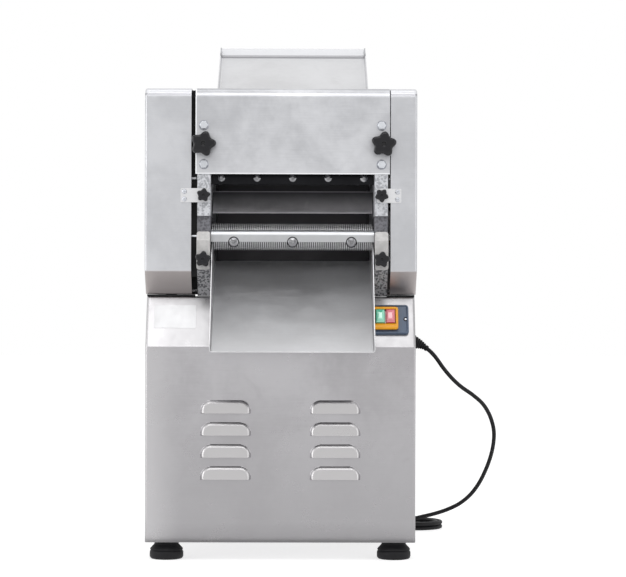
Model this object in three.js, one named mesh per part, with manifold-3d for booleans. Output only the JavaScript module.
// Electric pasta maker: a steel cabinet with a motor inside, and on it a head whose two rollers
// press a sheet and whose two grooved rolls cut it. Lengths are millimetres. x runs to the
// right, y to the back and z up, from the floor under the middle of the machine.
import * as THREE from 'three';
import { mergeVertices } from 'three/addons/utils/BufferGeometryUtils.js';
import Module from 'manifold-3d';

const wasm = await Module();
wasm.setup();

// Sizes that every piece shares
const gap = 0.3; // room left between pieces that touch
const overrun = 1; // how far a cutting shape runs past what it cuts
const sheet = 1.5; // steel sheet of the cabinet and the covers
const full = 2 * Math.PI;

// Cabinet
const cabinetDepth = 400;
const footHeight = 29;
const deckTop = 420;
const consoleDepth = 40; // how far the console leans back
const consoleRise = 81; // from the front panel's top to the deck
const cornerRadius = 4; // bends of the cabinet and the side covers
const foldRadius = 7; // soft folds at both ends of the console
const flange = 15; // inward bends that carry the deck and the back panel
const deckThickness = 3;
const baseThickness = 3;
const cabinetFront = -cabinetDepth / 2;
const cabinetBack = cabinetDepth / 2;
const frontPanelTop = deckTop - consoleRise;
const deckFront = cabinetFront + consoleDepth;

// Louvres pressed out of the front panel
const louvreWidth = 80;
const louvreHeight = 21;
const louvreCorner = 17;
const louvreDepth = 6;
const louvrePitch = 35;
const louvreRows = 4;
const louvreFromMiddle = 87;
const lowestLouvre = 129;

// Vents cut in the back panel
const ventLength = 70;
const ventHeight = 6;
const ventPitch = 16;
const ventRows = 6;
const ventFromMiddle = 80;
const lowestVent = 110;

// Rubber feet, each on its screw
const footRadius = 27;
const footNeck = 18.5;
const footFromSide = 33;
const footFromFront = 33;
const footScrew = 4;
const footScrewRise = 12;
const footRimShare = 0.3; // of the foot's height
const footShoulderShare = 0.57;
const footNeckShare = 0.87;

// Side frames
const frameThickness = 21.5;
const openingWidth = 261.5; // clear width between the two frames
const openingMiddle = 18.5; // the head sits right of the cabinet's middle
const frameRise = 316;
const shoulderRise = 42;
const frameFront = -193;
const frameBack = 90;
const frameTop = deckTop + frameRise;
const frameShoulder = deckTop + shoulderRise; // below it the frame's front slants back to the deck
const frameFootFront = -158;
const frameRadius = 12;
const leftInner = openingMiddle - openingWidth / 2;
const rightInner = openingMiddle + openingWidth / 2;
const leftOuter = leftInner - frameThickness;
const rightOuter = rightInner + frameThickness;
const frameBottom = deckTop + gap;

// Pressing rollers
const rollerRadius = 38;
const rollerGap = 2; // free room between the rollers at the narrowest setting
const rollerLevel = 241; // above the deck
const rollerHeight = deckTop + rollerLevel;
const rearRollerY = -27;
const rollerEndRoom = 1.5;
const journalRadius = 15;
const seatRadius = 12;
const frontRollerY = rearRollerY - 2 * rollerRadius - rollerGap;
const rollerSides = 20;

// Bearing blocks of the front roller and the screws that set them
const blockLength = 70;
const blockHeight = 56;
const blockTravel = 5; // how far the bearing blocks slide to open the gap
const blockFlange = 2;
const blockLip = 4;
const travelRoom = 2 * blockTravel; // free length of the frame's window ahead of the block
const gapScrewRadius = 5;
const gapScrewEntry = 8; // how far the screw's end reaches into the block
const rightScrewOffset = 2.5; // the right screw stands a little outside its frame's middle

// Gears
const gearModule = 3;
const rollerTeeth = 26;
const driveTeeth = 52;
const pinionTeeth = 13;
const idlerTeeth = 38;
const cutterTeeth = 13;
const gearWidth = 16;
const rightGearRoom = 9.25; // from the frame to the gears
const leftGearRoom = 26.25;
const rightGearX = rightOuter + rightGearRoom;
const leftGearX = leftOuter - leftGearRoom;
const backlash = 0.5;
const toothTipShare = 0.9; // of the module, above the pitch circle
const toothRootShare = 1.2; // of the module, below the pitch circle
const flankShare = 0.36; // of the module, by which half a tooth narrows to its tip
const gearHub = 20;
const hubLength = 6;
const stubRadius = 8;

// Cutter
const cutterRadius = 21;
const cutterLevel = 96; // above the deck
const cutterHeight = deckTop + cutterLevel;
const frontCutterY = -150;
const cutterJournal = 9;
const ridgeCount = 16;
const ridgeRoom = 0.45; // side room between the ridges of one roll and those of the other
const cutterSides = 8;
const notchBelow = 24; // from the cutter's axis
const notchAbove = 32;
const notchBottom = cutterHeight - notchBelow;
const notchTop = cutterHeight + notchAbove;
const notchBack = -85;
const endPlateSetback = 6;
const rearCutterY = frontCutterY + gearModule * cutterTeeth;

// Lay shaft, pulleys, belt and motor
const layShaftRadius = 10;
const layShaftAngle = -50; // degrees from the rear roller to the lay shaft, seen from the right
const pulleyRoom = 40; // from the drive gear to the pulley's far side
const pulleyLeft = leftGearX - pulleyRoom;
const pulleyWidth = 26;
const drivenPulleyRadius = 75;
const motorPulleyRadius = 25;
const beltTopWidth = 13;
const beltBottomWidth = 7.6;
const beltThickness = 8;
const motorY = 60;
const motorHeight = 150;
const motorRadius = 58;
const motorRib = 4;
const motorRibs = 10;
const motorSetback = 50; // from the pulley's far side to the motor
const motorLeft = pulleyLeft + motorSetback;
const motorLength = 210;
const motorBell = 34;
const motorShaftRadius = 9;
const motorBellShare = 0.6; // radius of its end faces, of the motor's radius
const terminalBoxShare = 1.45; // its top above the axle, of the motor's radius
const grooveRoom = 2; // free depth under the belt

// Side covers, front cover and their fasteners
const coverRise = 332;
const coverLift = 3; // clear of the deck
const coverShoulderDrop = 2; // below the frame's shoulder
const coverTop = deckTop + coverRise;
const coverBottom = deckTop + coverLift;
const coverShoulder = frameShoulder - coverShoulderDrop;
const coverBack = 150;
const pulleyEndRoom = 17; // from the pulley to the left cover's outer face
const gearEndRoom = 21; // from the right gears to the right cover's outer face
const leftCoverRoom = 9; // from each frame to its cover's inner edge
const rightCoverRoom = 3.85;
const coverReach = Math.max(pulleyEndRoom - pulleyLeft, rightGearX + gearWidth + gearEndRoom);
const leftCoverInner = leftOuter - leftCoverRoom;
const rightCoverInner = rightOuter + rightCoverRoom;
const coverOverhang = 2; // of the side covers past the cabinet
const wall = coverReach - coverOverhang; // the cabinet's half width
const coverRadius = 16;
const frontCoverDrop = 46.6; // from the rollers' axis to its lower edge
const frontCoverLap = 2.5; // past the frames on each side
const frontCoverBottom = rollerHeight - frontCoverDrop;
const frontCoverLeft = leftOuter - frontCoverLap;
const frontCoverRight = rightOuter + frontCoverLap;
const frontCoverRoof = 118; // how far its top plate runs back
const boltHeadRadius = 7.5;
const boltHeadHeight = 5.3;
const washerRadius = 8;
const washerThickness = 1.6;
const boltShank = 4;
const boltLength = 24;
const boltFromScrew = 31; // above and below the setting screw
const locatingPin = 2.2;
const locatingPinPast = 4.75; // past the side cover's inner edge
const locatingPinSetback = 9;
const locatingPinDrop = 53; // from the rollers' axis to the upper pin
const locatingPinHeights = [rollerHeight - locatingPinDrop, cutterHeight];

// Tabs that hold the side covers to the frames
const tabHeight = 22.6;
const tabThickness = 2;
const tabDrop = 80.5; // from the rollers' axis
const tabLevel = rollerHeight - tabDrop;
const tabOnCover = 17;
const tabPastScrew = 7;
const rivetRadius = 4;
const rivetHeight = 2;
const rivetPitch = 12;
const rivetSetback = 6;

// Star knobs and round heads
const crownShare = 0.9; // of a round head's radius, at half its height
const starLobes = 5;
const gapKnobTurns = [15, 6]; // degrees to the right, of the left knob and the right one
const coverKnobTurns = [9, 34];
const clampKnobTurns = [6, 9];
const pointsPerLobe = 4;
const lobeShare = 0.13; // swell of the lobes, of the knob's radius
const dimpleShare = 0.12; // of the knob's radius
const dimpleDepthShare = 0.2; // of its thickness
const neckShare = 0.45; // of the knob's radius
const knobBevelShare = 0.1;
const gapKnobRadius = 20.5;
const gapKnobThickness = 14;
const gapKnobStand = 16;
const coverKnobRadius = 11;
const coverKnobThickness = 9;
const clampKnobRadius = 13;
const clampKnobThickness = 10;
const knobNeck = 5; // length of a small knob's neck
const knobStud = 3;
const knobStudLength = 26;

// Clamps that hold the cutter's end plates in their notches
const clampBelow = 30; // from the notch's lower edge
const clampAbove = 31;
const clampBottom = notchBottom - clampBelow;
const clampTop = notchBottom + clampAbove;
const clampThickness = 12.7;
const clampBevel = 14.4;
const clampRadius = 4;
const clampKnobDrop = 13.4; // from the notch's lower edge
const clampKnobLevel = notchBottom - clampKnobDrop;

// Scraper, guide plate and comb
const scraperDrop = 61.4; // from the rollers' axis to the bar's lower edge
const scraperBottom = rollerHeight - scraperDrop;
const scraperHeight = 20;
const scraperThickness = 8;
const scraperFront = -158;
const scraperScrews = 5;
const scraperScrewMargin = 16.15; // from each frame to the first screw
const scraperScrewRise = 10.4; // above the bar's lower edge
const scraperScrewRadius = 6.5;
const scraperScrewHeight = 3.4;
const bladeThickness = 1.2;
const bladeSetback = 6; // below the bar's top
const bladeAngle = 280; // degrees round the front roller, seen from the right
const guideTopY = -118;
const guideDrop = 70; // from the rollers' axis to the plate's top
const guideTop = rollerHeight - guideDrop;
const guideBottomY = -142;
const guideHeight = 37;
const guideBottom = guideTop - guideHeight;
const guideSideRoom = 2.2;
const guideHem = 5;
const earLength = 14;
const combDrop = 9.4; // from the cutter's axis to the bar's lower edge
const combHeight = 19.5;
const combBottom = cutterHeight - combDrop;
const combTop = combBottom + combHeight;
const combFront = -186;
const combThickness = 13.5;
const combRound = 7; // of its upper front edge
const combScrews = 3;
const combScrewMargin = 36.85; // from each frame to the first screw
const combScrewRadius = 7.8;
const combScrewHeight = 3.6;

// Outlet chute and feed tray
const chuteTipY = -292;
const chuteTipDrop = 5; // below the front panel's top
const chuteTip = frontPanelTop - chuteTipDrop;
const chuteRearY = -100;
const chuteDrop = 38; // from the cutter's axis to the chute's rear edge
const chuteRear = cutterHeight - chuteDrop;
const chuteTipWall = 12;
const chuteWallDrop = 13; // from the cutter's axis to its walls' top
const chuteWallTop = cutterHeight - chuteWallDrop;
const chuteSideRoom = 3.5; // from each frame, so that the clamp knobs turn past it
const chuteEar = 12;
const chuteEarSetback = 2; // from the frame's front and the notch's lower edge
const chuteWallFront = -196;
const chuteWallBack = -172;
const trayFrontY = 0;
const trayRise = 37; // from the rollers' axis to the tray's lower end
const trayFront = rollerHeight + trayRise;
const trayRearY = 283.5;
const trayClimb = 155;
const trayRear = trayFront + trayClimb;
const traySideRoom = 2;
const trayWidth = openingWidth - 2 * traySideRoom;
const trayWall = 24;
const trayLip = 16;
const trayLipLean = 7;
const trayEar = 24;

// Cover between the frames at the back
const rearCoverLift = 4; // clear of the deck
const rearCoverDrop = 8; // below the frames' top
const rearCoverBottom = deckTop + rearCoverLift;
const rearCoverTop = frameTop - rearCoverDrop;
const rearCoverFlange = 22;

// Switch on the console
const switchFromSide = 48.2;
const switchMiddle = wall - switchFromSide;
const switchAlong = 2.6; // above the console's middle, along its slope
const switchWidth = 75;
const switchHeight = 51;
const switchThickness = 6;
const switchRadius = 5;
const switchScrewFromMiddle = 32.6;
const switchScrewRadius = 3.2;
const switchScrewHeight = 1;
const switchBoxWidth = 62;
const switchBoxHeight = 34;
const switchBoxDepth = 32;
const surroundWidth = 41.5;
const surroundHeight = 39.5;
const surroundUp = 0;
const surroundThickness = 4;
const surroundRadius = 4;
const surroundBevel = 0.9;
const windowWidth = 33;
const windowHeight = 25.6;
const windowUp = 2.6;
const buttonRise = 3.4;
const buttonTravel = 3;
const buttonPocket = 13;
const buttonRadius = 1.5;

// Mains lead
const cordDiameter = 7;
const cordSides = 8;
const cordStepShare = 2.5; // length of one step of the free stretch, in diameters
const coilSides = 6;
const coilTurns = 5;
const coilSteps = 24;
const coilPitch = 7.7;
const coilClimbTurns = 0.5; // turns over which it climbs to the upper layer
const coilMiddleRadius = 42;
const coilX = 241;
const coilY = 305;
const tailRadius = 30;
const tailSteps = 6;
const glandY = 60;
const glandDrop = 77; // below the deck
const glandHeight = deckTop - glandDrop;
const glandRadius = 12.5;
const glandCollar = 9;
const glandEndRadius = 5.2;
const bootBendReach = 19; // where the boot's bend would come to a point, off the wall
const bootReach = 34;
const bootDrop = 12;
const bootSteps = 6;
const bootTaperShare = 0.83; // of the boot past its collar, over which it narrows
const plugLength = 42;
const plugWidth = 34;
const plugHeight = 22;
const plugNose = 15;
const plugCornerShare = 0.7; // of half the plug's height
const plugNoseShare = 0.8;
const pinRadius = 2.4;
const pinLength = 19;
const pinPitch = 19;

// Colours and finishes
const finish = (name, color, roughness, metalness) =>
  new THREE.MeshStandardMaterial({ name, color, roughness, metalness });
const steel = finish('brushed_steel', '#c3c4c8', 0.35, 0.9);
const paleSteel = finish('pale_steel', '#dcdde0', 0.3, 0.9);
const hammered = finish('hammered_paint', '#b4b7bd', 0.45, 0.5);
const darkSteel = finish('dark_steel', '#3a3b40', 0.4, 0.7);
const castClamp = finish('clamp_metal', '#cfccc8', 0.45, 0.7);
const zinc = finish('zinc', '#d5d8de', 0.3, 0.9);
const polished = finish('polished_steel', '#d0d2d6', 0.15, 1);
const gearSteel = finish('gear_steel', '#8b8d92', 0.4, 0.9);
const knobPlastic = finish('knob_plastic', '#232428', 0.3, 0);
const switchPlastic = finish('switch_plastic', '#3c4350', 0.45, 0);
const orangePlastic = finish('orange_plastic', '#f39a1e', 0.4, 0);
const greenPlastic = finish('green_plastic', '#63d39c', 0.3, 0);
const redPlastic = finish('red_plastic', '#e2445c', 0.3, 0);
const rubber = finish('rubber', '#1d1f21', 0.75, 0);
const motorPaint = finish('motor_paint', '#4d5b66', 0.55, 0.3);

// Places worked out from the sizes above
const radians = (degrees) => degrees * Math.PI / 180;
const beltDriveDistance = gearModule * (driveTeeth + pinionTeeth) / 2;
const layShaftY = rearRollerY + beltDriveDistance * Math.cos(radians(layShaftAngle));
const layShaftZ = rollerHeight + beltDriveDistance * Math.sin(radians(layShaftAngle));
const toRearRoller = gearModule * (rollerTeeth + idlerTeeth) / 2;
const toRearCutter = gearModule * (cutterTeeth + idlerTeeth) / 2;
const idler = meeting([rearRollerY, rollerHeight], toRearRoller, [rearCutterY, cutterHeight], toRearCutter);

// The point at given distances from two others, on the side away from the front
function meeting([y0, z0], far, [y1, z1], near) {
  const apart = Math.hypot(y1 - y0, z1 - z0);
  const [stepY, stepZ] = [(y1 - y0) / apart, (z1 - z0) / apart];
  const foot = (far * far - near * near + apart * apart) / (2 * apart);
  const rise = Math.sqrt(far * far - foot * foot);
  return { y: y0 + stepY * foot - stepZ * rise, z: z0 + stepZ * foot + stepY * rise };
}

// Solids out of closed geometries

function solid(geometry) {
  const bare = geometry.clone();
  bare.deleteAttribute('normal');
  bare.deleteAttribute('uv');
  const merged = mergeVertices(bare);
  const corners = merged.index.array;
  const kept = [];
  for (let at = 0; at < corners.length; at += 3) {
    const [a, b, c] = [corners[at], corners[at + 1], corners[at + 2]];
    if (a !== b && b !== c && a !== c) kept.push(a, b, c);
  }
  const build = (triangles) => new wasm.Manifold(new wasm.Mesh({
    numProp: 3,
    vertProperties: new Float32Array(merged.attributes.position.array),
    triVerts: new Uint32Array(triangles),
  }));
  const made = build(kept);
  return made.volume() > 0 ? made : build(kept.reverse());
}

function geometryOf(piece) {
  const mesh = piece.getMesh();
  const geometry = new THREE.BufferGeometry();
  geometry.setAttribute('position', new THREE.BufferAttribute(mesh.vertProperties, 3));
  geometry.setIndex(new THREE.BufferAttribute(mesh.triVerts, 1));
  geometry.computeVertexNormals();
  return geometry;
}

const join = (...pieces) => pieces.reduce((whole, piece) => whole.add(piece));
const cut = (piece, ...tools) => tools.reduce((rest, tool) => rest.subtract(tool), piece);

function block(x0, x1, y0, y1, z0, z1) {
  const box = new THREE.BoxGeometry(x1 - x0, y1 - y0, z1 - z0);
  box.translate((x0 + x1) / 2, (y0 + y1) / 2, (z0 + z1) / 2);
  return solid(box);
}

// An outline is a list of [u, v, radius]: a corner with a radius is rounded by a true arc.
function outline(points) {
  const shape = new THREE.Shape();
  const count = points.length;
  points.forEach(([u, v, radius = 0], index) => {
    const corner = new THREE.Vector2(u, v);
    if (radius === 0) {
      if (index === 0) shape.moveTo(u, v);
      else shape.lineTo(u, v);
      return;
    }
    const [beforeU, beforeV] = points[(index + count - 1) % count];
    const [afterU, afterV] = points[(index + 1) % count];
    const back = new THREE.Vector2(beforeU, beforeV).sub(corner).normalize();
    const ahead = new THREE.Vector2(afterU, afterV).sub(corner).normalize();
    const half = Math.acos(back.dot(ahead)) / 2;
    const centre = back.clone().add(ahead).normalize().multiplyScalar(radius / Math.sin(half)).add(corner);
    const start = back.clone().multiplyScalar(radius / Math.tan(half)).add(corner);
    const end = ahead.clone().multiplyScalar(radius / Math.tan(half)).add(corner);
    const from = start.clone().sub(centre).angle();
    const to = end.clone().sub(centre).angle();
    const clockwise = back.cross(ahead) > 0;
    if (index === 0) shape.moveTo(start.x, start.y);
    else shape.lineTo(start.x, start.y);
    shape.absarc(centre.x, centre.y, radius, from, to, clockwise);
  });
  return shape;
}

// The same closed list of points, moved inwards all round by a wall thickness
function inset(points, thickness) {
  const count = points.length;
  return points.map(([u, v, radius = 0], index) => {
    const [beforeU, beforeV] = points[(index + count - 1) % count];
    const [afterU, afterV] = points[(index + 1) % count];
    const inwards = (du, dv) => new THREE.Vector2(-dv, du).normalize();
    const first = inwards(u - beforeU, v - beforeV);
    const second = inwards(afterU - u, afterV - v);
    const reach = thickness / (1 + first.dot(second));
    const moved = new THREE.Vector2(u, v).add(first.add(second).multiplyScalar(reach));
    return [moved.x, moved.y, radius > thickness ? radius - thickness : 0];
  });
}

const along = {
  x: new THREE.Matrix4().makeBasis(
    new THREE.Vector3(0, 1, 0), new THREE.Vector3(0, 0, 1), new THREE.Vector3(1, 0, 0)),
  y: new THREE.Matrix4().makeBasis(
    new THREE.Vector3(1, 0, 0), new THREE.Vector3(0, 0, 1), new THREE.Vector3(0, -1, 0)),
  z: new THREE.Matrix4(),
};

function extruded(axis, shape, from, to, steps = 3, bevel = 0, centre = [0, 0, 0]) {
  const geometry = new THREE.ExtrudeGeometry(shape, {
    depth: to - from - 2 * bevel,
    curveSegments: steps,
    bevelEnabled: bevel > 0,
    bevelThickness: bevel,
    bevelSize: bevel,
    bevelOffset: -bevel,
    bevelSegments: 1,
  });
  geometry.translate(0, 0, bevel + (axis === 'y' ? -to : from));
  return solid(geometry.applyMatrix4(along[axis]).translate(...centre));
}

// Plates seen from the side, from the front and from above
const sidePlate = (points, x0, x1, steps) => extruded('x', outline(points), x0, x1, steps);
const frontPlate = (points, y0, y1, steps) => extruded('y', outline(points), y0, y1, steps);
const flatPlate = (points, z0, z1, steps) => extruded('z', outline(points), z0, z1, steps);

// A round piece along an axis, from a list of [place along the axis, radius]
function turned(axis, profile, centre, sides) {
  const closed = [[profile[0][0], 0], ...profile, [profile.at(-1)[0], 0]];
  const lathe = new THREE.LatheGeometry(closed.map(([at, r]) => new THREE.Vector2(r, at)), sides);
  if (axis === 'x') lathe.rotateZ(-Math.PI / 2);
  if (axis === 'z') lathe.rotateX(Math.PI / 2);
  lathe.translate(...centre);
  return solid(lathe);
}

const rod = (axis, radius, from, to, centre, sides = 10) =>
  turned(axis, [[from, radius], [to, radius]], centre, sides);

const rounded = (u0, u1, v0, v1, radius) =>
  [[u0, v0, radius], [u1, v0, radius], [u1, v1, radius], [u0, v1, radius]];

const machine = new THREE.Group();

function place(name, piece, material, parent = machine) {
  const mesh = new THREE.Mesh(geometryOf(piece), material);
  mesh.name = name;
  parent.add(mesh);
  return mesh;
}

// Cabinet: one bent sheet with the console and the louvres, open at the back and below

const cabinetSide = [
  [cabinetBack, footHeight],
  [cabinetBack, deckTop],
  [deckFront, deckTop, foldRadius],
  [cabinetFront, frontPanelTop, foldRadius],
  [cabinetFront, footHeight],
];

function louvre(x, bottom) {
  const low = [x - louvreWidth / 2, x + louvreWidth / 2];
  const top = bottom + louvreHeight;
  const hood = (crown, drop) => frontPlate(
    [[low[0] + drop, bottom - drop], [low[1] - drop, bottom - drop],
      [low[1] - drop, crown, louvreCorner - drop], [low[0] + drop, crown, louvreCorner - drop]],
    cabinetFront - louvreDepth - overrun, cabinetFront + sheet + overrun, 2);
  const wedge = (step, reach) => sidePlate(
    [[cabinetFront - louvreDepth + step, bottom - step], [cabinetFront + reach, bottom - step],
      [cabinetFront + reach, top], [cabinetFront + step, top]],
    low[0] - overrun, low[1] + overrun);
  const outer = hood(top, 0).intersect(wedge(0, sheet / 2));
  const inner = hood(top - sheet, sheet).intersect(wedge(sheet, sheet + overrun));
  return { outer, inner };
}

function cabinetShell() {
  const plan = flatPlate(
    [[-wall, cabinetFront, cornerRadius], [wall, cabinetFront, cornerRadius],
      [wall, cabinetBack], [-wall, cabinetBack]], 0, deckTop + overrun, 2);
  const cavityPlan = flatPlate(
    [[sheet - wall, cabinetFront + sheet, cornerRadius - sheet],
      [wall - sheet, cabinetFront + sheet, cornerRadius - sheet],
      [wall - sheet, cabinetBack], [sheet - wall, cabinetBack]], 0, deckTop, 2);
  const cavity = sidePlate(inset(cabinetSide, sheet), sheet - wall, wall - sheet).intersect(cavityPlan);
  let shell = sidePlate(cabinetSide, -wall, wall).intersect(plan).subtract(cavity);
  const clear = wall - sheet;
  shell = cut(shell,
    block(flange - wall, wall - flange, cabinetBack - sheet - overrun, cabinetBack + overrun,
      footHeight - overrun, deckTop + overrun),
    block(-clear, clear, cabinetFront + sheet, cabinetBack - sheet,
      footHeight - overrun, footHeight + sheet + overrun),
    block(-clear, clear, deckFront + flange, cabinetBack + overrun,
      deckTop - deckThickness - gap, deckTop + overrun));
  for (let row = 0; row < louvreRows; row += 1) {
    for (const x of [-louvreFromMiddle, louvreFromMiddle]) {
      const { outer, inner } = louvre(x, lowestLouvre + row * louvrePitch);
      shell = shell.add(outer).subtract(inner);
    }
  }
  return cut(shell, switchHole(), glandHole());
}

function backPanel() {
  const front = cabinetBack - sheet - gap - sheet;
  let panel = block(sheet + gap - wall, wall - sheet - gap, front, front + sheet,
    footHeight + baseThickness + gap, deckTop - deckThickness - gap);
  for (let row = 0; row < ventRows; row += 1) {
    for (const side of [-1, 1]) {
      const middle = side * ventFromMiddle;
      const bottom = lowestVent + row * ventPitch;
      panel = panel.subtract(block(middle - ventLength / 2, middle + ventLength / 2,
        front - overrun, front + sheet + overrun, bottom, bottom + ventHeight));
    }
  }
  return panel;
}

const footFromMiddle = wall - footFromSide;
const footPlaces = [
  ['foot_front_left', -footFromMiddle, cabinetFront + footFromFront],
  ['foot_front_right', footFromMiddle, cabinetFront + footFromFront],
  ['foot_rear_left', -footFromMiddle, cabinetBack - footFromFront],
  ['foot_rear_right', footFromMiddle, cabinetBack - footFromFront],
];

function baseTray() {
  const side = wall - sheet - gap;
  const front = cabinetFront + sheet + gap;
  const back = cabinetBack - sheet - gap;
  const top = footHeight + baseThickness;
  const upturn = (x0, x1) =>
    block(x0, x1, front + cornerRadius, back - sheet - gap - overrun, footHeight, top + flange);
  const floor = flatPlate([[-side, front, cornerRadius], [side, front, cornerRadius],
    [side, back], [-side, back]], footHeight, top, 2);
  const tray = join(floor,
    upturn(-side, sheet - side), upturn(side - sheet, side));
  return footPlaces.reduce((rest, [, x, y]) =>
    rest.subtract(rod('z', footScrew + gap, footHeight - overrun, top + overrun, [x, y, 0])), tray);
}

function foot(x, y) {
  const rise = footHeight - gap;
  const profile = [
    [0, footRadius - sheet], [sheet, footRadius], [rise * footRimShare, footRadius],
    [rise * footShoulderShare, footRadius - sheet], [rise * footNeckShare, footNeck],
    [rise, footNeck], [rise, footScrew],
    [footHeight + baseThickness + footScrewRise, footScrew],
  ];
  return turned('z', profile, [x, y, 0], 12);
}

function deckPlate() {
  const side = wall - sheet - gap;
  const plate = block(-side, side, deckFront + flange + gap, cabinetBack,
    deckTop - deckThickness, deckTop);
  const slotSide = beltTopWidth;
  const beltX = pulleyLeft + pulleyWidth / 2;
  return plate.subtract(block(beltX - slotSide, beltX + slotSide,
    layShaftY - drivenPulleyRadius, motorY + drivenPulleyRadius / 2 + motorPulleyRadius,
    deckTop - deckThickness - overrun, deckTop + overrun));
}

// Motor in the cabinet, its pulley, the belt and the driven pulley above

function motorBody() {
  const right = motorLeft + motorLength;
  const ribbed = new THREE.Shape();
  const steps = motorRibs * 4;
  for (let step = 0; step < steps; step += 1) {
    const angle = (step + 0.5) / steps * full;
    const radius = motorRadius + (step % 4 < 2 ? motorRib : 0);
    ribbed[step === 0 ? 'moveTo' : 'lineTo'](radius * Math.cos(angle), radius * Math.sin(angle));
  }
  const axle = [0, motorY, motorHeight];
  const middle = extruded('x', ribbed, motorLeft + motorBell, right - motorBell, 1, 0, axle);
  const bell = (from, to) => turned('x',
    [[from, motorRadius * motorBellShare], [from + (to - from) / 4, motorRadius], [to, motorRadius]],
    axle, 16);
  const tail = turned('x', [[right - motorBell - overrun, motorRadius],
    [right - motorBell / 4, motorRadius], [right, motorRadius * motorBellShare]], axle, 16);
  const foundation = footHeight + baseThickness + gap;
  const bracket = sidePlate([
    [motorY - motorRadius, foundation], [motorY + motorRadius, foundation],
    [motorY + motorRadius, foundation + 2 * deckThickness], [motorY + motorRadius / 2, motorHeight],
    [motorY - motorRadius / 2, motorHeight], [motorY - motorRadius, foundation + 2 * deckThickness]],
  motorLeft + motorBell + 2 * motorRib, right - motorBell - 2 * motorRib);
  const box = block(motorLeft + motorLength / 2, right - motorBell, motorY - motorRadius / 2,
    motorY + motorRadius / 2, motorHeight, motorHeight + motorRadius * terminalBoxShare);
  return cut(join(middle, bell(motorLeft, motorLeft + motorBell + overrun), tail, bracket, box),
    rod('x', motorShaftRadius + gap, motorLeft - overrun, motorLeft + motorBell, axle, 16));
}

// A pulley's rim with its V groove, from its outer radius down to its hub
function pulleyProfile(radius, bore) {
  const middle = pulleyLeft + pulleyWidth / 2;
  const groove = beltThickness + grooveRoom;
  const topHalf = beltTopWidth / 2 + gap;
  const bottomHalf = beltBottomWidth / 2;
  const hub = Math.min(radius - groove - sheet, bore + 3 * sheet + baseThickness);
  const web = Math.max(hub, radius - groove - 2 * baseThickness);
  const rim = [[middle - topHalf - sheet, radius], [middle - topHalf, radius],
    [middle - bottomHalf, radius - groove], [middle + bottomHalf, radius - groove],
    [middle + topHalf, radius], [middle + topHalf + sheet, radius]];
  const left = [[pulleyLeft, hub], [middle - bottomHalf, hub], [middle - bottomHalf, web],
    [middle - topHalf - sheet, web]];
  const right = [[middle + topHalf + sheet, web], [middle + bottomHalf, web],
    [middle + bottomHalf, hub], [pulleyLeft + pulleyWidth, hub]];
  if (web > hub) return [...left, ...rim, ...right];
  return [[pulleyLeft, hub], [middle - topHalf - sheet, hub], ...rim,
    [middle + topHalf + sheet, hub], [pulleyLeft + pulleyWidth, hub]];
}

function drivenPulley() {
  const bore = layShaftRadius + gap;
  const wheel = turned('x', pulleyProfile(drivenPulleyRadius, bore), [0, layShaftY, layShaftZ], 16);
  return wheel.subtract(rod('x', bore, pulleyLeft - overrun, pulleyLeft + pulleyWidth + overrun,
    [0, layShaftY, layShaftZ]));
}

function motorPulley() {
  const profile = pulleyProfile(motorPulleyRadius, motorShaftRadius);
  const shaftEnd = motorLeft + motorBell - gap;
  return turned('x', [[pulleyLeft - sheet, motorShaftRadius], [pulleyLeft, motorShaftRadius], ...profile,
    [pulleyLeft + pulleyWidth, motorShaftRadius], [shaftEnd, motorShaftRadius]],
  [0, motorY, motorHeight], 12);
}

// The belt is one closed loop: arcs on both pulleys joined by its two straight runs
function vBelt() {
  const middle = pulleyLeft + pulleyWidth / 2;
  const [riseY, riseZ] = [layShaftY - motorY, layShaftZ - motorHeight];
  const distance = Math.hypot(riseY, riseZ);
  const lean = Math.asin((drivenPulleyRadius - motorPulleyRadius) / distance);
  const heading = Math.atan2(riseZ, riseY);
  const arcSteps = 12;
  const ring = [];
  const wrap = (y, z, radius, from, to) => {
    for (let step = 0; step <= arcSteps; step += 1) {
      const angle = from + (to - from) * step / arcSteps;
      ring.push({ y, z, radius, out: [Math.cos(angle), Math.sin(angle)] });
    }
  };
  const side = Math.PI / 2 + lean;
  wrap(layShaftY, layShaftZ, drivenPulleyRadius, heading - side, heading + side);
  wrap(motorY, motorHeight, motorPulleyRadius, heading + side, heading - side + full);
  const vertices = [];
  const triangles = [];
  const chordRoom = drivenPulleyRadius * (1 - Math.cos(side / arcSteps));
  const section = [[-beltTopWidth / 2, 0], [-beltBottomWidth / 2, -beltThickness],
    [beltBottomWidth / 2, -beltThickness], [beltTopWidth / 2, 0]];
  for (const { y, z, radius, out } of ring) {
    for (const [aside, depth] of section) {
      const reach = radius + depth + chordRoom + gap;
      vertices.push(middle + aside, y + out[0] * reach, z + out[1] * reach);
    }
  }
  const lanes = section.length;
  for (let at = 0; at < ring.length; at += 1) {
    const next = (at + 1) % ring.length;
    for (let lane = 0; lane < lanes; lane += 1) {
      const [a, b] = [at * lanes + lane, at * lanes + (lane + 1) % lanes];
      const [c, d] = [next * lanes + lane, next * lanes + (lane + 1) % lanes];
      triangles.push(a, c, b, b, c, d);
    }
  }
  const geometry = new THREE.BufferGeometry();
  geometry.setAttribute('position', new THREE.Float32BufferAttribute(vertices, 3));
  geometry.setIndex(triangles);
  return solid(geometry);
}

// Gears: straight-flanked teeth on a turned blank

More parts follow.
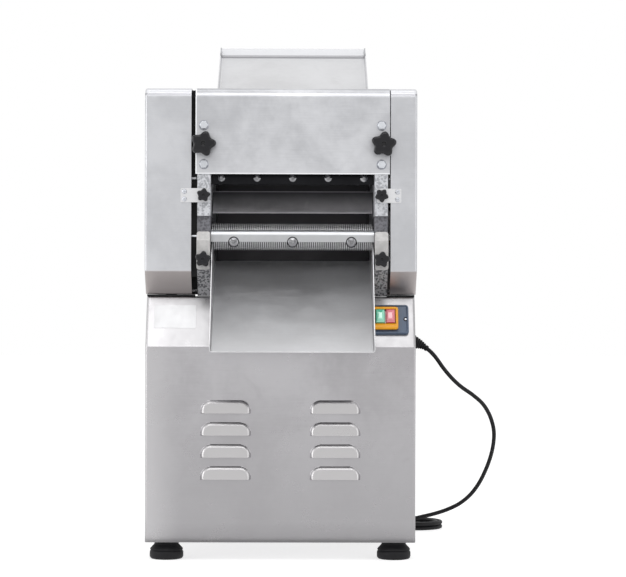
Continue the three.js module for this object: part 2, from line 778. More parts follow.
function gearOutline(teeth, phase) {
  const pitch = gearModule * teeth / 2;
  const tip = pitch + gearModule * toothTipShare;
  const root = pitch - gearModule * toothRootShare;
  const half = (full / teeth / 2 - backlash / pitch) / 2;
  const slope = flankShare * gearModule / pitch;
  const shape = new THREE.Shape();
  for (let tooth = 0; tooth < teeth; tooth += 1) {
    const middle = phase + tooth / teeth * full;
    const corners = [[root, middle - half - slope], [tip, middle - half + slope],
      [tip, middle + half - slope], [root, middle + half + slope]];
    corners.forEach(([radius, angle], corner) => {
      const spot = [radius * Math.cos(angle), radius * Math.sin(angle)];
      shape[tooth + corner === 0 ? 'moveTo' : 'lineTo'](...spot);
    });
  }
  return shape;
}

// Where two gears mesh, a tooth of one faces a space of the other
function meshedPhase(firstPhase, firstTeeth, secondTeeth, [y0, z0], [y1, z1]) {
  const line = Math.atan2(z1 - z0, y1 - y0);
  return line + Math.PI + Math.PI / secondTeeth - (firstPhase - line) * firstTeeth / secondTeeth;
}

const rearAxis = [rearRollerY, rollerHeight];
const frontAxis = [frontRollerY, rollerHeight];
const rearCutterAxis = [rearCutterY, cutterHeight];
const frontCutterAxis = [frontCutterY, cutterHeight];
const idlerAxis = [idler.y, idler.z];
const layShaftAxis = [layShaftY, layShaftZ];
const rearPhase = 0;
const frontPhase = meshedPhase(rearPhase, rollerTeeth, rollerTeeth, rearAxis, frontAxis);
const idlerPhase = meshedPhase(rearPhase, rollerTeeth, idlerTeeth, rearAxis, idlerAxis);
const rearCutterPhase = meshedPhase(idlerPhase, idlerTeeth, cutterTeeth, idlerAxis, rearCutterAxis);
const frontCutterPhase = meshedPhase(rearCutterPhase, cutterTeeth, cutterTeeth,
  rearCutterAxis, frontCutterAxis);
const pinionPhase = meshedPhase(rearPhase, driveTeeth, pinionTeeth, rearAxis, layShaftAxis);

function toothed(teeth, phase, [y, z], left) {
  return extruded('x', gearOutline(teeth, phase), left, left + gearWidth, 1, 0, [0, y, z]);
}

// A loose gear with a bore, and a hub on the side away from the frame
function gear(teeth, phase, axis, left, bore) {
  const centre = [0, ...axis];
  const hub = rod('x', gearHub, left + gearWidth - overrun, left + gearWidth + hubLength, centre);
  return cut(join(toothed(teeth, phase, axis, left), hub),
    rod('x', bore + gap, left - overrun, left + gearWidth + hubLength + overrun, centre, rollerSides));
}

// Pressing rollers, bearing blocks and lay shaft

const nutRadius = journalRadius + overrun;
const gearSeatEnd = rightGearX + gearWidth + hubLength + gap;
const rollerLeft = leftInner + rollerEndRoom;
const rollerRight = rightInner - rollerEndRoom;
const rollerRightEnd = [[rollerRight, rollerRadius], [rollerRight, journalRadius],
  [rightGearX - gap, journalRadius], [rightGearX - gap, seatRadius], [gearSeatEnd, seatRadius],
  [gearSeatEnd, nutRadius], [gearSeatEnd + hubLength, nutRadius]];

function rearRoller() {
  const shoulder = leftGearX + gearWidth + hubLength + gap;
  return turned('x', [[leftGearX - gap - hubLength, nutRadius], [leftGearX - gap, nutRadius],
    [leftGearX - gap, seatRadius], [shoulder, seatRadius], [shoulder, journalRadius],
    [rollerLeft, journalRadius], [rollerLeft, rollerRadius], ...rollerRightEnd],
  [0, ...rearAxis], rollerSides);
}

function frontRoller() {
  return turned('x', [[leftOuter - gap - blockFlange - overrun, journalRadius],
    [rollerLeft, journalRadius], [rollerLeft, rollerRadius], ...rollerRightEnd],
  [0, ...frontAxis], rollerSides);
}

// Each side of the head: its frame, which way is outwards, and where its setting screw stands
const sides = {
  left: { inner: leftInner, outer: leftOuter, out: -1, coverEdge: leftCoverInner,
    screwX: (leftInner + leftOuter) / 2 },
  right: { inner: rightInner, outer: rightOuter, out: 1, coverEdge: rightCoverInner,
    screwX: (rightInner + rightOuter) / 2 + rightScrewOffset },
};
const between = (a, b) => [Math.min(a, b), Math.max(a, b)];
const frameMiddle = ({ inner, outer }) => (inner + outer) / 2;
const blockFront = frontRollerY - blockLength / 2;
const blockBack = frontRollerY + blockLength / 2;

function bearingBlock(side) {
  const half = blockHeight / 2;
  const flangeInner = side.outer + side.out * gap;
  const body = block(...between(side.inner - side.out * gap, flangeInner + side.out * overrun),
    blockFront, blockBack, rollerHeight - half, rollerHeight + half);
  const lip = block(...between(flangeInner, flangeInner + side.out * blockFlange),
    blockFront - blockLip, blockBack + blockLip, rollerHeight - half - blockLip,
    rollerHeight + half + blockLip);
  const through = between(side.inner - side.out * overrun, flangeInner + side.out * journalRadius);
  return cut(join(body, lip), rod('x', journalRadius + gap, ...through, [0, ...frontAxis], 18),
    rod('y', gapScrewRadius + gap, blockFront - overrun, blockFront + gapScrewEntry + gap,
      [side.screwX, 0, rollerHeight]));
}

function layShaft() {
  const centre = [0, ...layShaftAxis];
  const collar = layShaftRadius + 2 * blockFlange;
  const left = leftInner + gap;
  const right = rightInner - gap;
  const shaft = turned('x', [[pulleyLeft - gap - hubLength, collar], [pulleyLeft - gap, collar],
    [pulleyLeft - gap, layShaftRadius], [left, layShaftRadius], [left, collar],
    [left + hubLength, collar], [left + hubLength, layShaftRadius],
    [right - hubLength, layShaftRadius], [right - hubLength, collar], [right, collar],
    [right, layShaftRadius], [rightOuter - overrun, layShaftRadius]], centre, 10);
  return shaft.add(toothed(pinionTeeth, pinionPhase, layShaftAxis, leftGearX));
}

// Cutter rolls: the ridges of one run in the grooves of the other

function cutterRoll(axis, phase, shift) {
  const pitch = (rollerRight - rollerLeft) / ridgeCount;
  const width = pitch / 2 - ridgeRoom;
  const groove = rearCutterY - frontCutterY - cutterRadius - ridgeRoom;
  const profile = [[leftOuter + overrun, cutterJournal], [rollerLeft, cutterJournal], [rollerLeft, groove]];
  for (let ridge = 0; ridge < ridgeCount; ridge += 1) {
    const from = rollerLeft + (ridge + shift) * pitch + ridgeRoom / 2;
    profile.push([from, groove], [from, cutterRadius], [from + width, cutterRadius], [from + width, groove]);
  }
  profile.push([rollerRight, groove], [rollerRight, cutterJournal],
    [rightGearX + gearWidth + hubLength, cutterJournal]);
  const roll = turned('x', profile, [0, ...axis], cutterSides);
  return roll.add(toothed(cutterTeeth, phase, axis, rightGearX));
}

function endPlate(side) {
  const plate = sidePlate([
    [notchBack - gap, notchBottom + gap], [notchBack - gap, notchTop - gap],
    [frameFront + endPlateSetback, notchTop - gap], [frameFront + endPlateSetback, notchBottom + gap]],
  ...between(side.inner, side.outer));
  const through = between(side.inner - side.out * overrun, side.outer + side.out * overrun);
  return cut(plate, rod('x', cutterJournal + gap, ...through, [0, ...frontCutterAxis], 16),
    rod('x', cutterJournal + gap, ...through, [0, ...rearCutterAxis], 16));
}

// Side frames

function sideFrame(side) {
  const span = between(side.inner, side.outer);
  const through = between(side.inner - side.out * overrun, side.outer + side.out * overrun);
  const plate = sidePlate([
    [frameFootFront, frameBottom], [frameBack, frameBottom], [frameBack, frameTop, 3 * frameRadius],
    [frameFront, frameTop, frameRadius], [frameFront, notchTop], [notchBack, notchTop],
    [notchBack, notchBottom], [frameFront, notchBottom], [frameFront, frameShoulder]], ...span, 2);
  const half = blockHeight / 2 + gap;
  const front = (radius, x, z, depth) =>
    rod('y', radius + gap, frameFront - overrun, frameFront + depth, [x, 0, z]);
  const studDepth = knobStudLength;
  const window = block(...through, blockFront - travelRoom, blockBack + gap,
    rollerHeight - half, rollerHeight + half);
  const middle = frameMiddle(side);
  let frame = cut(plate, window,
    rod('x', journalRadius + gap, ...through, [0, ...rearAxis], 18),
    rod('x', layShaftRadius + gap, ...through, [0, ...layShaftAxis], 14),
    rod('y', gapScrewRadius + gap, frameFront - overrun, blockFront, [side.screwX, 0, rollerHeight]),
    front(boltShank, middle, rollerHeight + boltFromScrew, boltLength),
    front(boltShank, middle, rollerHeight - boltFromScrew, boltLength),
    front(knobStud, middle, tabLevel, studDepth),
    front(knobStud, middle, clampKnobLevel, studDepth));
  const pin = (y, z) => rod('x', locatingPin, ...between(side.outer - side.out * overrun,
    side.coverEdge + side.out * locatingPinPast), [0, y, z], 8);
  for (const level of locatingPinHeights) {
    const y = level < notchTop ? notchBack + locatingPinSetback : frameFront + locatingPinSetback;
    frame = frame.add(pin(y, level));
  }
  frame = frame.add(pin(frameFootFront + locatingPinSetback / 2, frameBottom + locatingPinSetback));
  if (side.out > 0) {
    frame = frame.add(rod('x', stubRadius, rightOuter - overrun, gearSeatEnd + hubLength,
      [0, ...idlerAxis], 16));
  }
  return frame;
}

function rearCover() {
  const [left, right] = [leftInner + gap, rightInner - gap];
  const back = frameBack - sheet;
  const side = (x0, x1) => block(x0, x1, back - rearCoverFlange, back, rearCoverBottom, rearCoverTop);
  return join(block(left, right, back - sheet, back, rearCoverBottom, rearCoverTop),
    side(left, left + sheet), side(right - sheet, right));
}

// Front cover, its bolts, and the two side covers

const frontCoverFace = frameFront - gap - sheet;

function frontCover() {
  const roofBack = frontCoverFace + frontCoverRoof;
  let cover = sidePlate([
    [frontCoverFace + sheet, frontCoverBottom],
    [frontCoverFace + sheet, coverTop - sheet, coverRadius - sheet],
    [roofBack, coverTop - sheet], [roofBack, coverTop], [frontCoverFace, coverTop, coverRadius],
    [frontCoverFace, frontCoverBottom]], frontCoverLeft, frontCoverRight, 4);
  for (const side of Object.values(sides)) {
    const hole = (radius, x, z) => rod('y', radius, frontCoverFace - overrun,
      frameFront + overrun, [x, 0, z]);
    cover = cut(cover, hole(gapScrewRadius + overrun, side.screwX, rollerHeight),
      hole(boltShank + gap, frameMiddle(side), rollerHeight + boltFromScrew),
      hole(boltShank + gap, frameMiddle(side), rollerHeight - boltFromScrew));
  }
  return cover;
}

function coverBolt(x, z) {
  const face = frontCoverFace - gap;
  const head = rod('y', boltHeadRadius, face - washerThickness - boltHeadHeight,
    face - washerThickness + overrun / 2, [x, 0, z], 6);
  const shank = turned('y', [[face - washerThickness, washerRadius], [face, washerRadius],
    [face, boltShank], [face + boltLength, boltShank]], [x, 0, z], 10);
  return head.add(shank);
}

function sideCover(innerX, outerX) {
  const points = [
    [coverBack, coverBottom], [coverBack, coverTop, coverRadius], [frameFront, coverTop, coverRadius],
    [frameFront, coverShoulder], [frameFootFront - gap, coverBottom]];
  const [x0, x1] = between(innerX, outerX);
  const rounding = (edge) => (edge === outerX ? cornerRadius : 0);
  const plan = flatPlate(
    [[x0, frameFront, rounding(x0)], [x1, frameFront, rounding(x1)],
      [x1, coverBack, rounding(x1)], [x0, coverBack, rounding(x0)]], coverBottom - overrun, coverTop, 2);
  const inwards = Math.sign(innerX - outerX);
  const cavity = sidePlate(inset(points, sheet),
    ...between(outerX + inwards * sheet, innerX + inwards * overrun), 4);
  const floor = block(...between(outerX + inwards * sheet, innerX + inwards * overrun),
    frameFootFront + sheet, coverBack - sheet, coverBottom - overrun, coverBottom + sheet + overrun);
  return cut(sidePlate(points, x0, x1, 4).intersect(plan), cavity, floor);
}

const domedHead = (x, z, face, radius, height) =>
  turned('y', [[face - height, radius / 2], [face - height / 2, radius * crownShare], [face, radius],
    [face + overrun, radius]], [x, 0, z], 8);

function coverTab(side) {
  const face = frameFront - gap;
  const outerEnd = side.coverEdge + side.out * tabOnCover;
  const screw = frameMiddle(side);
  const innerEnd = screw - side.out * tabPastScrew;
  const [low, high] = [tabLevel - tabHeight / 2, tabLevel + tabHeight / 2];
  const slotHalf = knobStud + gap;
  let tab = cut(
    frontPlate(rounded(...between(outerEnd, innerEnd), low, high, sheet), face - tabThickness, face, 1),
    block(...between(screw, innerEnd - side.out * overrun), face - tabThickness - overrun,
      face + overrun, tabLevel - slotHalf, tabLevel + slotHalf),
    rod('y', slotHalf, face - tabThickness - overrun, face + overrun, [screw, 0, tabLevel]));
  for (const step of [-1, 1]) {
    const x = outerEnd - side.out * rivetSetback;
    const z = tabLevel + step * rivetPitch / 2;
    tab = tab.add(domedHead(x, z, face - tabThickness, rivetRadius, rivetHeight));
  }
  return tab;
}

// Star knobs: five round lobes, a dimple in front, a neck and a stud behind

function starOutline(radius, turn) {
  const shape = new THREE.Shape();
  const steps = starLobes * pointsPerLobe;
  const points = [];
  for (let step = 0; step < steps; step += 1) {
    const angle = step / steps * full + Math.PI / 2 - radians(turn);
    const swell = Math.cos(starLobes * step / steps * full);
    const reach = radius * (1 - lobeShare + lobeShare * swell);
    points.push(new THREE.Vector2(reach * Math.cos(angle), reach * Math.sin(angle)));
  }
  shape.setFromPoints(points);
  return shape;
}

// back is the knob's rear face; the neck and the stud run on from it towards the machine
function starKnob(radius, turn, thickness, back, neck, studRadius, studEnd, x, z) {
  const front = back - thickness;
  const neckRadius = radius * neckShare;
  const head = extruded('y', starOutline(radius, turn), front, back, 1, radius * knobBevelShare, [x, 0, z]);
  const dimple = rod('y', radius * dimpleShare, front - overrun,
    front + thickness * dimpleDepthShare, [x, 0, z], 6);
  const stem = turned('y', [[back - overrun, neckRadius], [back + neck, neckRadius],
    [back + neck, studRadius], [studEnd, studRadius]], [x, 0, z], 8);
  return cut(join(head, stem), dimple);
}

const turnOf = ([leftTurn, rightTurn], side) => (side.out < 0 ? leftTurn : rightTurn);

function gapKnob(side) {
  const back = frontCoverFace - gapKnobStand;
  return starKnob(gapKnobRadius, turnOf(gapKnobTurns, side), gapKnobThickness, back,
    gapKnobStand - 2 * overrun, gapScrewRadius, blockFront + gapScrewEntry, side.screwX, rollerHeight);
}

function coverKnob(side) {
  const seat = frameFront - 2 * gap - tabThickness;
  return starKnob(coverKnobRadius, turnOf(coverKnobTurns, side), coverKnobThickness, seat - knobNeck,
    knobNeck, knobStud, frameFront + knobStudLength - gap, frameMiddle(side), tabLevel);
}

function clampKnob(side) {
  const seat = frameFront - 2 * gap - clampThickness;
  return starKnob(clampKnobRadius, turnOf(clampKnobTurns, side), clampKnobThickness, seat - knobNeck,
    knobNeck, knobStud, frameFront + knobStudLength - gap, frameMiddle(side), clampKnobLevel);
}

// The clamp bears on the frame below the notch, and its toe on the end plate inside it
function cutterClamp(side) {
  const back = frameFront - gap;
  const front = back - clampThickness;
  const toe = frameFront + endPlateSetback - gap;
  const toeBottom = notchBottom + sheet;
  const slope = clampBevel / 2;
  const bar = sidePlate([[back, clampBottom], [back, toeBottom], [toe, toeBottom], [toe, clampTop],
    [front + slope, clampTop], [front, clampTop - clampBevel], [front, clampBottom]],
  ...between(side.inner, side.outer));
  const face = frontPlate(rounded(...between(side.inner, side.outer), clampBottom, clampTop, clampRadius),
    front - overrun, toe + overrun, 2);
  return cut(bar.intersect(face), rod('y', knobStud + gap, front - overrun, back + overrun,
    [frameMiddle(side), 0, clampKnobLevel]));
}

// Scraper, guide plate and comb bar between the frames


function screwRow(count, margin, z, face, radius, height) {
  const heads = [];
  const pitch = (openingWidth - 2 * margin) / (count - 1);
  for (let index = 0; index < count; index += 1) {
    const x = openingMiddle + (index - (count - 1) / 2) * pitch;
    heads.push(domedHead(x, z, face, radius, height));
  }
  return heads;
}

const spanBetweenFrames = [leftInner + gap, rightInner - gap];

function scraperBar() {
  const back = scraperFront + scraperThickness;
  const reach = rollerRadius + bladeThickness / 2;
  const tip = [frontRollerY + reach * Math.cos(radians(bladeAngle)),
    rollerHeight + reach * Math.sin(radians(bladeAngle))];
  const root = scraperBottom + scraperHeight - bladeSetback;
  const blade = sidePlate([[back - overrun, root - bladeThickness], [tip[0], tip[1] - bladeThickness],
    tip, [back - overrun, root]], rollerLeft, rollerRight);
  const bar = block(...spanBetweenFrames, scraperFront, back, scraperBottom, scraperBottom + scraperHeight);
  return join(bar, blade, ...screwRow(scraperScrews, scraperScrewMargin, scraperBottom + scraperScrewRise,
    scraperFront, scraperScrewRadius, scraperScrewHeight));
}

function guidePlate() {
  const [left, right] = [leftInner + guideSideRoom, rightInner - guideSideRoom];
  const lean = (guideTopY - guideBottomY) / (guideTop - guideBottom);
  const hemTop = guideBottom + guideHem;
  const plate = sidePlate([
    [guideBottomY, guideBottom], [guideBottomY + sheet, guideBottom], [guideTopY + sheet, guideTop],
    [guideTopY, guideTop], [guideBottomY + guideHem * lean, hemTop],
    [guideBottomY + guideHem * lean - sheet, hemTop], [guideBottomY - sheet, guideBottom]], left, right);
  const earTop = guideTop - sheet;
  const ear = (x0, x1) => sidePlate([
    [guideTopY - earLength * lean, earTop - earLength], [guideTopY + earLength, earTop - earLength],
    [guideTopY + earLength, earTop], [guideTopY, earTop]], x0, x1);
  return join(plate, ear(spanBetweenFrames[0], left + sheet), ear(right - sheet, spanBetweenFrames[1]));
}

function combBar() {
  const back = combFront + combThickness;
  const bar = sidePlate([[back, combBottom], [back, combTop], [combFront, combTop, combRound],
    [combFront, combBottom]], ...spanBetweenFrames, 3);
  return join(bar, ...screwRow(combScrews, combScrewMargin, combBottom, combFront,
    combScrewRadius, combScrewHeight));
}

// Outlet chute and feed tray, both bent from sheet

function outletChute() {
  const [left, right] = [leftInner + chuteSideRoom, rightInner - chuteSideRoom];
  const lip = chuteTip + chuteTipWall;
  const wallSide = (x0, x1) => sidePlate([
    [chuteTipY, chuteTip - sheet], [chuteRearY, chuteRear - sheet], [chuteRearY, chuteRear + chuteTipWall],
    [frontCutterY, chuteRear + chuteTipWall + overrun], [chuteWallBack, chuteWallTop],
    [chuteWallFront, chuteWallTop], [chuteTipY, lip]], x0, x1);
  const floor = sidePlate([
    [chuteTipY, chuteTip - sheet], [chuteRearY, chuteRear - sheet], [chuteRearY, chuteRear],
    [chuteTipY, chuteTip]], left, right);
  const earFront = frameFront + chuteEarSetback;
  const earTop = notchBottom - chuteEarSetback;
  const ear = (x0, x1) => block(x0, x1, earFront, earFront + chuteEar, earTop - chuteEar, earTop);
  return join(floor, wallSide(left, left + sheet), wallSide(right - sheet, right),
    ear(spanBetweenFrames[0], left + sheet), ear(right - sheet, spanBetweenFrames[1]));
}

function feedTray() {
  const [left, right] = [openingMiddle - trayWidth / 2, openingMiddle + trayWidth / 2];
  const lipTop = trayRear + trayLip;
  const floor = sidePlate([
    [trayFrontY, trayFront - sheet], [trayRearY + sheet, trayRear - sheet],
    [trayRearY + trayLipLean + sheet, lipTop], [trayRearY + trayLipLean, lipTop],
    [trayRearY, trayRear], [trayFrontY, trayFront]], left, right);
  const wallSide = (x0, x1) => sidePlate([
    [trayFrontY, trayFront - sheet], [trayRearY, trayRear - sheet],
    [trayRearY + trayLipLean, lipTop], [trayRearY - trayWall / 2, lipTop],
    [trayFrontY, trayFront + trayWall]], x0, x1);
  const slope = (trayRear - trayFront) / (trayRearY - trayFrontY);
  const earY = trayFrontY + trayEar;
  const earZ = trayFront + slope * earY;
  const ear = (x0, x1) => block(x0, x1, earY - trayEar / 2, earY + trayEar / 2, earZ, earZ + trayWall / 2);
  return join(floor, wallSide(left, left + sheet), wallSide(right - sheet, right),
    ear(spanBetweenFrames[0], left + sheet), ear(right - sheet, spanBetweenFrames[1]));
}

// Switch: drawn upright with its face to the front, then leant back onto the console

const consoleLean = Math.atan2(consoleDepth, consoleRise);
const consolePlace = new THREE.Matrix4()
  .makeTranslation(switchMiddle, cabinetFront + consoleDepth / 2, frontPanelTop + consoleRise / 2)
  .multiply(new THREE.Matrix4().makeRotationX(-consoleLean))
  .multiply(new THREE.Matrix4().makeTranslation(0, 0, switchAlong));

function switchPlate() {
  const [w, h] = [switchWidth / 2, switchHeight / 2];
  const [bw, bh] = [switchBoxWidth / 2, switchBoxHeight / 2];
  const plate = extruded('y', outline(rounded(-w, w, -h, h, switchRadius)),
    -gap - switchThickness, -gap, 2, sheet);
  const middle = windowUp;
  const box = block(-bw, bw, -gap - sheet - overrun, switchBoxDepth, middle - bh, middle + bh);
  const pocket = block(-windowWidth / 2, windowWidth / 2, -gap - switchThickness - overrun,
    buttonPocket + buttonTravel, middle - windowHeight / 2, middle + windowHeight / 2);
  const heads = [-1, 1].map((side) => domedHead(side * switchScrewFromMiddle, 0,
    -gap - switchThickness, switchScrewRadius, switchScrewHeight));
  return cut(join(plate, box, ...heads), pocket);
}

function switchHole() {
  const [bw, bh] = [switchBoxWidth / 2 + gap, switchBoxHeight / 2 + gap];
  const box = new THREE.BoxGeometry(2 * bw, 2 * louvreDepth, 2 * bh);
  box.translate(0, 0, windowUp);
  return solid(box.applyMatrix4(consolePlace));
}

function switchSurround() {
  const [w, h] = [surroundWidth / 2, surroundHeight / 2];
  const back = -2 * gap - switchThickness;
  const ring = extruded('y', outline(rounded(-w, w, surroundUp - h, surroundUp + h, surroundRadius)),
    back - surroundThickness, back, 2, surroundBevel);
  return ring.subtract(block(-windowWidth / 2, windowWidth / 2, back - surroundThickness - overrun,
    back + overrun, windowUp - windowHeight / 2, windowUp + windowHeight / 2));
}

function button(side) {
  const face = -2 * gap - switchThickness - surroundThickness - buttonRise;
  const half = windowWidth / 2 - gap;
  const [low, high] = [windowUp - windowHeight / 2 + gap, windowUp + windowHeight / 2 - gap];
  return extruded('y', outline(rounded(...between(side * gap / 2, side * half), low, high, buttonRadius)),
    face, buttonPocket, 1, buttonRadius / 2);
}

// Mains lead: its gland, the free stretch, the coil with its tail, and the plug

const v3 = (x, y, z) => new THREE.Vector3(x, y, z);
const coilOuter = coilMiddleRadius + coilPitch * coilTurns / 4;
const cordRadius = cordDiameter / 2;
const layerTop = cordRadius + coilPitch;
const coilStart = v3(coilX - coilOuter, coilY, cordRadius);

// The gland's boot bends down with the lead
const bootRoot = v3(wall + gap + sheet, glandY, glandHeight);
const bootBend = v3(wall + bootBendReach, glandY, glandHeight);
const bootEnd = v3(wall + bootReach, glandY, glandHeight - bootDrop);
const boot = new THREE.QuadraticBezierCurve3(bootRoot, bootBend, bootEnd);

// Rings of points round a route, closed at both ends; up stays off the route's direction
function swept(points, radii, facets, up) {
  const vertices = [];
  const triangles = [];
  points.forEach((point, at) => {
    const before = points[Math.max(at - 1, 0)];
    const after = points[Math.min(at + 1, points.length - 1)];
    const ahead = after.clone().sub(before).normalize();
    const aside = ahead.clone().cross(up).normalize();
    const above = aside.clone().cross(ahead);
    for (let facet = 0; facet < facets; facet += 1) {
      const angle = facet / facets * full;
      const spot = point.clone().addScaledVector(aside, radii[at] * Math.cos(angle))
        .addScaledVector(above, radii[at] * Math.sin(angle));
      vertices.push(spot.x, spot.y, spot.z);
    }
  });
  for (let at = 0; at + 1 < points.length; at += 1) {
    for (let facet = 0; facet < facets; facet += 1) {
      const [a, b] = [at * facets + facet, at * facets + (facet + 1) % facets];
      triangles.push(a, b, a + facets, b, b + facets, a + facets);
    }
  }
  const last = (points.length - 1) * facets;
  for (let facet = 1; facet + 1 < facets; facet += 1) {
    triangles.push(0, facet + 1, facet, last, last + facet, last + facet + 1);
  }
  const geometry = new THREE.BufferGeometry();
  geometry.setAttribute('position', new THREE.Float32BufferAttribute(vertices, 3));
  geometry.setIndex(triangles);
  return solid(geometry);
}

function cableGland() {
  const points = [bootRoot];
  const radii = [glandRadius];
  const collarEnd = wall + glandCollar;
  for (let step = 1; step <= bootSteps; step += 1) {
    points.push(boot.getPoint(step / bootSteps));
    const past = Math.max(points.at(-1).x - collarEnd, 0) / (bootEnd.x - collarEnd);
    radii.push(glandRadius + (glandEndRadius - glandRadius) * Math.min(past / bootTaperShare, 1));
  }
  const stem = turned('x', [[wall - sheet - glandCollar, glandEndRadius + sheet],
    [wall + gap, glandEndRadius + sheet], [wall + gap, glandRadius],
    [wall + 2 * sheet, glandRadius]], [0, glandY, glandHeight], 10);
  return swept(points, radii, 10, v3(0, 1, 0)).add(stem);
}

function glandHole() {
  return rod('x', glandEndRadius + sheet + gap, wall - sheet - overrun, wall + overrun,
    [0, glandY, glandHeight]);
}

// The free stretch bows out beside the cabinet and comes down behind it onto the coil
const cordRoute = [
  [264.5, 62, 315.5], [276.5, 66, 299], [291, 72, 282], [308.5, 82, 266], [330, 94, 251],
  [348.4, 104, 234.8], [361.8, 116, 213.2], [369.4, 128, 188], [369.8, 140, 164], [365.6, 154, 138.6],
  [358.1, 168, 114.4], [348, 182, 91], [334.2, 196, 70], [316.7, 210, 53.4], [297, 222, 42],
  [276, 233, 33.5], [250.2, 243, 26], [228, 249, 20], [209, 256, 13.5], [196, 268, 7],
];

function powerCord() {
  const bootWay = boot.getTangent(1);
  const first = bootEnd.clone().addScaledVector(bootWay, gap);
  const lead = coilStart.clone().sub(v3(0, cordDiameter + gap, 0));
  const points = [first, first.clone().addScaledVector(bootWay, cordDiameter),
    ...cordRoute.map((point) => v3(...point)), lead.clone().sub(v3(0, 2 * cordDiameter, 0)), lead];
  const route = new THREE.CatmullRomCurve3(points, false, 'centripetal');
  const section = new THREE.Shape();
  for (let facet = 0; facet < cordSides; facet += 1) {
    const angle = facet / cordSides * full;
    section[facet === 0 ? 'moveTo' : 'lineTo'](
      cordRadius * Math.cos(angle), cordRadius * Math.sin(angle));
  }
  const length = route.getLength();
  const steps = Math.round(length / cordDiameter / cordStepShare);
  console.log(`free stretch ${length.toFixed(0)} mm`);
  return solid(new THREE.ExtrudeGeometry(section, { steps, extrudePath: route, bevelEnabled: false }));
}

// The coil spirals in on the floor, climbs a layer and spirals out again above
function coilPoint(turn) {
  const half = coilTurns / 2;
  const radius = coilOuter - coilPitch * (turn < half ? turn : coilTurns - turn);
  const climbed = (turn - half) / coilClimbTurns + 1 / 2;
  const climb = Math.min(Math.max(climbed, 0), 1);
  const angle = Math.PI - turn * full;
  return v3(coilX + radius * Math.cos(angle), coilY + radius * Math.sin(angle),
    cordRadius + coilPitch * climb);
}

function coilRoute() {
  const points = [coilStart.clone().sub(v3(0, cordDiameter, 0))];
  const steps = coilTurns * coilSteps;
  for (let step = 0; step <= steps; step += 1) points.push(coilPoint(step / coilSteps));
  const centreX = coilStart.x - tailRadius;
  for (let step = 1; step <= tailSteps; step += 1) {
    const angle = step / tailSteps * full / 4;
    points.push(v3(centreX + tailRadius * Math.cos(angle), coilY + tailRadius * Math.sin(angle), layerTop));
  }
  points.push(v3(centreX - cordDiameter, coilY + tailRadius, layerTop));
  return points;
}

// The least room between turns of the coil, measured between points more than half a turn apart
function leastRoom(points) {
  let least = Infinity;
  points.forEach((point, at) => {
    for (let other = at + coilSteps / 2; other < points.length; other += 1) {
      least = Math.min(least, point.distanceTo(points[other]));
    }
  });
  return least - cordDiameter;
}

function cordCoil() {
  const points = coilRoute();
  let length = 0;
  for (let at = 1; at < points.length; at += 1) length += points[at].distanceTo(points[at - 1]);
  console.log(`coil ${length.toFixed(0)} mm, least gap to itself ${leastRoom(points).toFixed(2)} mm`);
  return swept(points, points.map(() => cordRadius), coilSides, v3(0, 0, 1));
}

function powerPlug() {
  const y = coilY + tailRadius;
  const z = layerTop;
  const back = coilStart.x - tailRadius - cordDiameter - gap;
  const body = back - plugNose;
  const front = body - plugLength;
  const [w, h] = [plugWidth / 2, plugHeight / 2];
  const shell = extruded('x', outline(rounded(y - w, y + w, z - h, z + h, h * plugCornerShare)),
    front, body + overrun, 2, sheet);
  const nose = turned('x', [[body - overrun, h * plugNoseShare], [back, cordRadius + sheet]], [0, y, z], 8);
  const pins = [-1, 1].map((side) =>
    rod('x', pinRadius, front - pinLength, front + overrun, [0, y + side * pinPitch / 2, z], 6));
  return join(shell, nose, ...pins);
}

// Everything in its place

place('cabinet_shell', cabinetShell(), steel);
place('cabinet_back_panel', backPanel(), steel);
place('base_tray', baseTray(), steel);
place('deck_plate', deckPlate(), steel);
for (const [name, x, y] of footPlaces) place(name, foot(x, y), rubber);

place('motor_body', motorBody(), motorPaint);
place('motor_pulley', motorPulley(), gearSteel);
place('v_belt', vBelt(), rubber);
place('layshaft', layShaft(), gearSteel);
place('driven_pulley', drivenPulley(), gearSteel);

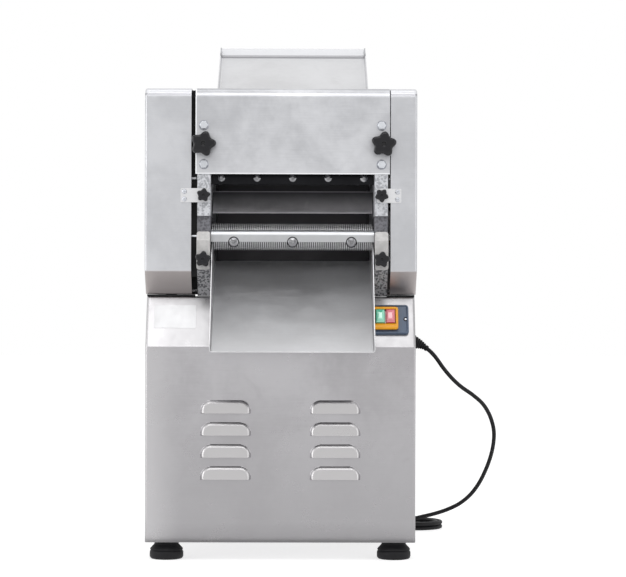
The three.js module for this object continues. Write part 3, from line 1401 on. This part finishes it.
place('rear_roller', rearRoller(), polished);
place('front_roller', frontRoller(), polished);
place('drive_gear', gear(driveTeeth, rearPhase, rearAxis, leftGearX, seatRadius), gearSteel);
place('rear_roller_gear', gear(rollerTeeth, rearPhase, rearAxis, rightGearX, seatRadius), gearSteel);
place('front_roller_gear', gear(rollerTeeth, frontPhase, frontAxis, rightGearX, seatRadius), gearSteel);
place('idler_gear', gear(idlerTeeth, idlerPhase, idlerAxis, rightGearX, stubRadius), gearSteel);
place('cutter_roll_front', cutterRoll(frontCutterAxis, frontCutterPhase, 0), polished);
place('cutter_roll_rear', cutterRoll(rearCutterAxis, rearCutterPhase, 1 / 2), polished);

for (const [name, side] of Object.entries(sides)) {
  place(`${name}_side_frame`, sideFrame(side), hammered);
  place(`bearing_block_${name}`, bearingBlock(side), gearSteel);
  place(`cutter_end_plate_${name}`, endPlate(side), hammered);
  place(`cutter_clamp_${name}`, cutterClamp(side), castClamp);
  place(`gap_knob_${name}`, gapKnob(side), knobPlastic);
  place(`cover_knob_${name}`, coverKnob(side), knobPlastic);
  place(`clamp_knob_${name}`, clampKnob(side), knobPlastic);
  for (const [level, up] of [['upper', 1], ['lower', -1]]) {
    place(`cover_bolt_${level}_${name}`,
      coverBolt(frameMiddle(side), rollerHeight + up * boltFromScrew), zinc);
  }
}

place('front_cover', frontCover(), paleSteel);
place('rear_cover', rearCover(), steel);
place('left_side_cover', sideCover(leftCoverInner, -coverReach), steel);
place('right_side_cover', sideCover(rightCoverInner, coverReach), steel);
place('left_cover_tab', coverTab(sides.left), zinc);
place('right_cover_tab', coverTab(sides.right), zinc);

place('scraper_bar', scraperBar(), darkSteel);
place('guide_plate', guidePlate(), darkSteel);
place('comb_bar', combBar(), steel);
place('outlet_chute', outletChute(), paleSteel);
place('feed_tray', feedTray(), paleSteel);

const switchGroup = new THREE.Group();
switchGroup.applyMatrix4(consolePlace);
machine.add(switchGroup);
place('switch_plate', switchPlate(), switchPlastic, switchGroup);
place('switch_surround', switchSurround(), orangePlastic, switchGroup);
place('start_button', button(-1), greenPlastic, switchGroup);
place('stop_button', button(1), redPlastic, switchGroup);

place('cable_gland', cableGland(), rubber);
place('power_cord', powerCord(), rubber);
place('cord_coil', cordCoil(), rubber);
place('power_plug', powerPlug(), rubber);

export default machine;
